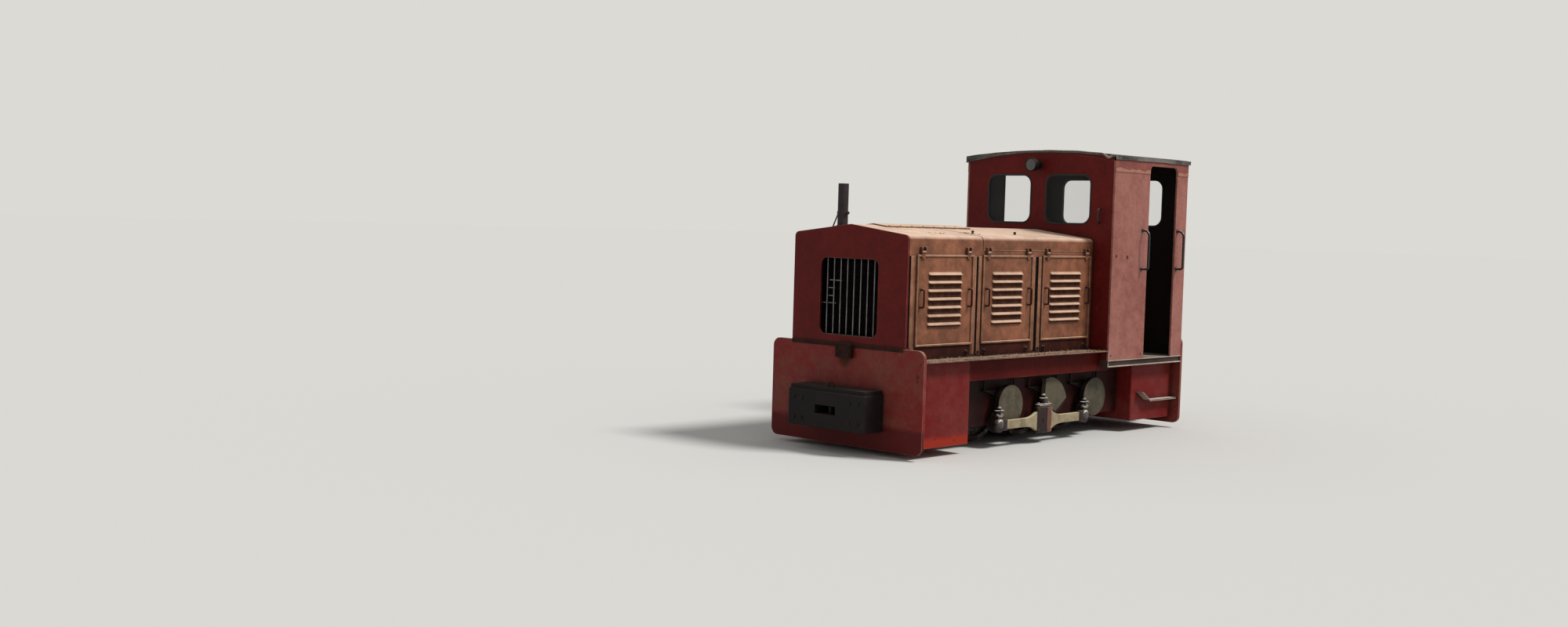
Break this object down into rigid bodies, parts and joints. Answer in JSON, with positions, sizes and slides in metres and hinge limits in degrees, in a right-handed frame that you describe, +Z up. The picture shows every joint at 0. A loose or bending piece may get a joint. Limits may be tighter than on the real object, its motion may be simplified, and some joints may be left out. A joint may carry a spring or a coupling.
{
  "type": "narrow-gauge diesel locomotive",
  "caption": "Rod-coupled narrow-gauge diesel shunting locomotive with outside cranks, louvred bonnet doors and an open cab.",
  "frame": {"origin": "bottom centre of the whole: floor under the wheel flanges, mid length, centreline", "axes": "+X forward to the bonnet end, +Y to the left side, +Z up"},
  "size_m": [4.45, 1.864, 2.6577],
  "materials": {
    "frame_paint": "weathered dark red paint",
    "cab_paint": "faded red paint",
    "bonnet_paint": "rusted brown paint",
    "roof_paint": "dark grey paint",
    "black_iron": "oily black",
    "cream_paint": "cream paint with rust",
    "grey_paint": "pale grey paint with rust",
    "wheel_steel": "worn steel",
    "window_glass": "clear",
    "lamp_metal": "dull",
    "desk_paint": "grey paint",
    "seat_leather": "worn"
  },
  "bodies": {
    "frame": {"end_plates": "frame_paint", "ballast_boxes": "frame_paint", "side_frames": "frame_paint", "cross_members": "frame_paint", "valances": "frame_paint", "front_bracket": "frame_paint", "cab_floor": "frame_paint", "cab_front_wall": "cab_paint", "cab_rear_wall": "cab_paint", "cab_left_wall": "cab_paint", "cab_right_wall": "cab_paint", "bonnet_front": "cab_paint", "bonnet_roof_front": "bonnet_paint", "bonnet_roof_rear": "bonnet_paint", "roof_cover": "bonnet_paint", "bonnet_posts": "bonnet_paint", "bonnet_sills": "bonnet_paint", "door_hinge_pegs": "bonnet_paint", "running_boards": "bonnet_paint", "cab_roof": "roof_paint", "couplers": "black_iron", "axleboxes": "black_iron", "brake_gear": "black_iron", "leaf_springs": "black_iron", "exhaust_pipe": "black_iron", "cab_handrails": "black_iron", "grille_bars": "black_iron", "radiator": "black_iron", "gearbox_block": "black_iron", "engine_block": "black_iron", "cab_steps": "wheel_steel", "cab_windows": "window_glass", "headlights": "lamp_metal", "control_desk": "desk_paint", "driver_seat": "seat_leather"},
    "front_wheelset": {"front_axle": "wheel_steel", "front_wheels": "wheel_steel", "front_cranks": "grey_paint"},
    "middle_wheelset": {"middle_axle": "wheel_steel", "middle_wheels": "wheel_steel", "middle_cranks": "grey_paint"},
    "rear_wheelset": {"rear_axle": "wheel_steel", "rear_wheels": "wheel_steel", "rear_cranks": "grey_paint"},
    "left_rod": {"left_coupling_rod": "cream_paint", "left_rod_bearings": "black_iron"},
    "right_rod": {"right_coupling_rod": "cream_paint", "right_rod_bearings": "black_iron"},
    "left_front_door": {"left_front_bonnet_door": "bonnet_paint"},
    "left_middle_door": {"left_middle_bonnet_door": "bonnet_paint"},
    "left_rear_door": {"left_rear_bonnet_door": "bonnet_paint"},
    "right_front_door": {"right_front_bonnet_door": "bonnet_paint"},
    "right_middle_door": {"right_middle_bonnet_door": "bonnet_paint"},
    "right_rear_door": {"right_rear_bonnet_door": "bonnet_paint"}
  },
  "joints": [
    {"name": "middle_axle_turn", "type": "hinge", "parent": "frame", "child": "middle_wheelset", "pos_m": [0, 0, 0.315], "axis": [0, 1, 0], "continuous": true},
    {"name": "front_axle_turn", "type": "hinge", "parent": "frame", "child": "front_wheelset", "pos_m": [0.65, 0, 0.315], "axis": [0, 1, 0], "continuous": true},
    {"name": "rear_axle_turn", "type": "hinge", "parent": "frame", "child": "rear_wheelset", "pos_m": [-0.65, 0, 0.315], "axis": [0, 1, 0], "continuous": true},
    {"name": "left_rod_swing", "type": "hinge", "parent": "middle_wheelset", "child": "left_rod", "pos_m": [0.13099, 0.719, 0.20508], "axis": [0, 1, 0], "continuous": true},
    {"name": "right_rod_swing", "type": "hinge", "parent": "middle_wheelset", "child": "right_rod", "pos_m": [0.10992, -0.719, 0.44599], "axis": [0, 1, 0], "continuous": true},
    {"name": "left_front_door_lift", "type": "hinge", "parent": "frame", "child": "left_front_door", "pos_m": [1.493, 0.653, 1.691], "axis": [1, 0, 0], "range_deg": [0, 90]},
    {"name": "left_middle_door_lift", "type": "hinge", "parent": "frame", "child": "left_middle_door", "pos_m": [0.6275, 0.653, 1.691], "axis": [1, 0, 0], "range_deg": [0, 90]},
    {"name": "left_rear_door_lift", "type": "hinge", "parent": "frame", "child": "left_rear_door", "pos_m": [-0.2575, 0.653, 1.691], "axis": [1, 0, 0], "range_deg": [0, 90]},
    {"name": "right_front_door_lift", "type": "hinge", "parent": "frame", "child": "right_front_door", "pos_m": [1.493, -0.653, 1.691], "axis": [-1, 0, 0], "range_deg": [0, 90]},
    {"name": "right_middle_door_lift", "type": "hinge", "parent": "frame", "child": "right_middle_door", "pos_m": [0.6275, -0.653, 1.691], "axis": [-1, 0, 0], "range_deg": [0, 90]},
    {"name": "right_rear_door_lift", "type": "hinge", "parent": "frame", "child": "right_rear_door", "pos_m": [-0.2575, -0.653, 1.691], "axis": [-1, 0, 0], "range_deg": [0, 90]}
  ],
  "couplings": [
    {"joint": "front_axle_turn", "follows": "middle_axle_turn", "ratio": 1},
    {"joint": "rear_axle_turn", "follows": "middle_axle_turn", "ratio": 1},
    {"joint": "left_rod_swing", "follows": "middle_axle_turn", "ratio": -1},
    {"joint": "right_rod_swing", "follows": "middle_axle_turn", "ratio": -1}
  ]
}
